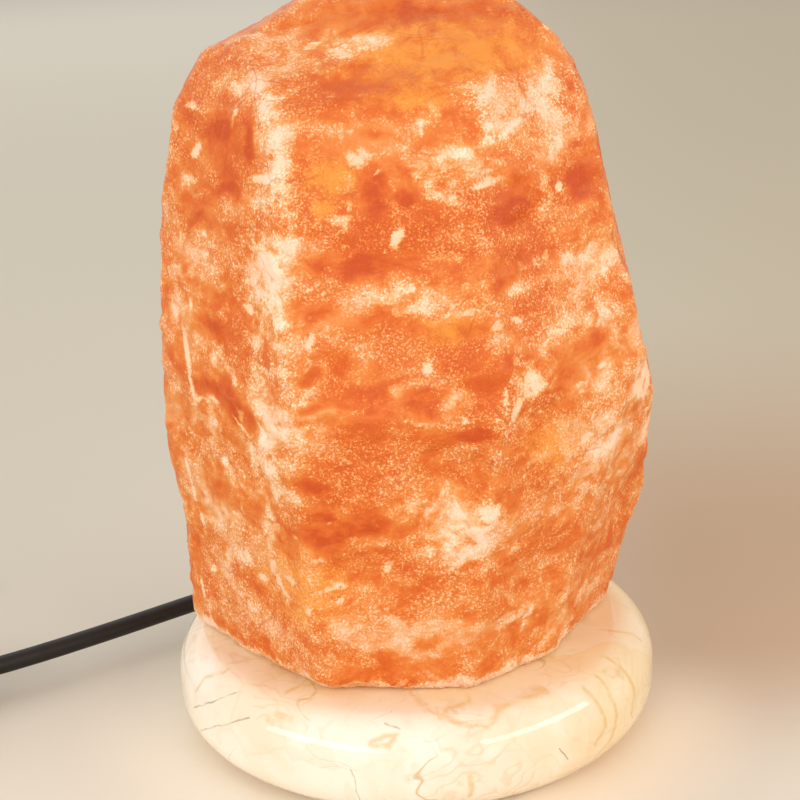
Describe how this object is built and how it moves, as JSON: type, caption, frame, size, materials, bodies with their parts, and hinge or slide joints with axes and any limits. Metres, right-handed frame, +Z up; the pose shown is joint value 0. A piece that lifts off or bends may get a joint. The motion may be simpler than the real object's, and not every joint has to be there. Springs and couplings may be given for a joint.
{
  "type": "salt crystal lamp",
  "caption": "Table lamp made of a bored block of orange rock salt standing over a small bulb on a round polished marble foot, with a black flex, inline switch and plug.",
  "frame": {"origin": "on the floor, under the middle of the round foot", "axes": "+Z up, -Y towards the front that the picture shows, +X to its right"},
  "size_m": [0.3274, 0.1571, 0.1973],
  "materials": {
    "rock_salt": "hewn and worn, translucent",
    "cream_marble": "polished",
    "black_felt": "felt",
    "black_pvc": "smooth",
    "black_thermoplastic": "moulded",
    "white_ceramic": "steatite",
    "zinc_plated_steel": "zinc plated",
    "brass": "drawn",
    "nickel_plated_brass": "plated",
    "solder": "dull",
    "black_glass": "cast",
    "clear_glass": "blown",
    "tungsten": "drawn wire",
    "brown_core": "extruded",
    "blue_core": "extruded"
  },
  "bodies": {
    "root": {"marble_base": "cream_marble", "felt_disc": "black_felt", "cord_bushing": "black_pvc", "cord_inner": "black_pvc", "cord_clamp": "black_thermoplastic", "clamp_screws": "zinc_plated_steel", "live_wire": "brown_core", "neutral_wire": "blue_core", "holder_nipple": "zinc_plated_steel", "nipple_nut": "zinc_plated_steel", "nipple_washer": "zinc_plated_steel", "holder_cap": "black_thermoplastic", "holder_shell": "black_thermoplastic", "contact_carrier": "white_ceramic", "terminal_screws": "brass", "screw_shell": "brass", "centre_contact": "brass", "cord_lead": "black_pvc", "switch_lower": "black_thermoplastic", "switch_upper": "black_thermoplastic", "switch_pin": "zinc_plated_steel", "switch_screws": "zinc_plated_steel", "switch_lead": "black_pvc", "cord_coil": "black_pvc", "coil_tie": "black_pvc", "plug_lead": "black_pvc", "plug_relief": "black_pvc", "plug_body": "black_pvc", "plug_pins": "nickel_plated_brass"},
    "crystal": {"salt_crystal": "rock_salt"},
    "bulb_contact": {"bulb_tip": "solder"},
    "bulb": {"bulb_insulator": "black_glass", "bulb_cap": "nickel_plated_brass", "bulb_glass": "clear_glass", "bulb_stem": "clear_glass", "bulb_leads": "nickel_plated_brass", "bulb_filament": "tungsten"},
    "rocker": {"switch_rocker": "black_thermoplastic"}
  },
  "joints": [
    {"name": "crystal_lift", "type": "slide", "parent": "root", "child": "crystal", "axis": [0, 0, 1], "range_m": [0, 0.15]},
    {"name": "bulb_rise", "type": "slide", "parent": "root", "child": "bulb_contact", "axis": [0, 0, 1], "range_m": [0, 0.0114]},
    {"name": "bulb_turn", "type": "hinge", "parent": "bulb_contact", "child": "bulb", "pos_m": [0, 0, 0.0566], "axis": [0, 0, 1], "range_deg": [0, 1440]},
    {"name": "switch_rock", "type": "hinge", "parent": "root", "child": "rocker", "pos_m": [-0.15238, -0.0089, 0.0144], "axis": [-0.5, 0.866, 0], "range_deg": [-14, 0]}
  ],
  "couplings": [
    {"joint": "bulb_rise", "follows": "bulb_turn", "m_per_rad": 0.00044882}
  ]
}
